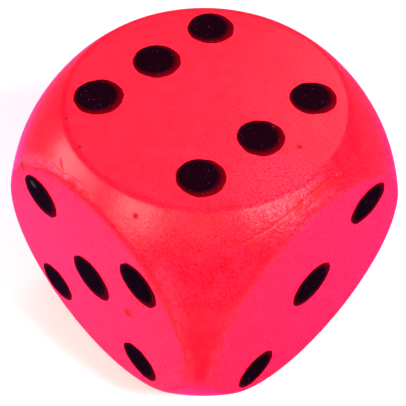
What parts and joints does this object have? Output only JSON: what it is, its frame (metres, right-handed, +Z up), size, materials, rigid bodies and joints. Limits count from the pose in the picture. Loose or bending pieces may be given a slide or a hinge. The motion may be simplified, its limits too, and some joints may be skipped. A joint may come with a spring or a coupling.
{
  "type": "giant soft playing die",
  "caption": "Large soft die: a foam cube rounded by a ball, in a seamless elastomer skin, with a round flat and painted black pips on every side.",
  "frame": {"origin": "middle of the base, on the flat of the one, at floor level", "axes": "+Z up through the six, +X out through the three, -Y out through the five"},
  "size_m": [0.16, 0.161, 0.16],
  "materials": {
    "skin": "satin",
    "pip_paint": "gloss",
    "foam": "matte"
  },
  "bodies": {
    "root": {"foam_core": "foam", "skin": "skin", "pip_one_1": "pip_paint", "pip_two_1": "pip_paint", "pip_two_2": "pip_paint", "pip_three_1": "pip_paint", "pip_three_2": "pip_paint", "pip_three_3": "pip_paint", "pip_four_1": "pip_paint", "pip_four_2": "pip_paint", "pip_four_3": "pip_paint", "pip_four_4": "pip_paint", "pip_five_1": "pip_paint", "pip_five_2": "pip_paint", "pip_five_3": "pip_paint", "pip_five_4": "pip_paint", "pip_five_5": "pip_paint", "pip_six_1": "pip_paint", "pip_six_2": "pip_paint", "pip_six_3": "pip_paint", "pip_six_4": "pip_paint", "pip_six_5": "pip_paint", "pip_six_6": "pip_paint"}
  },
  "joints": []
}
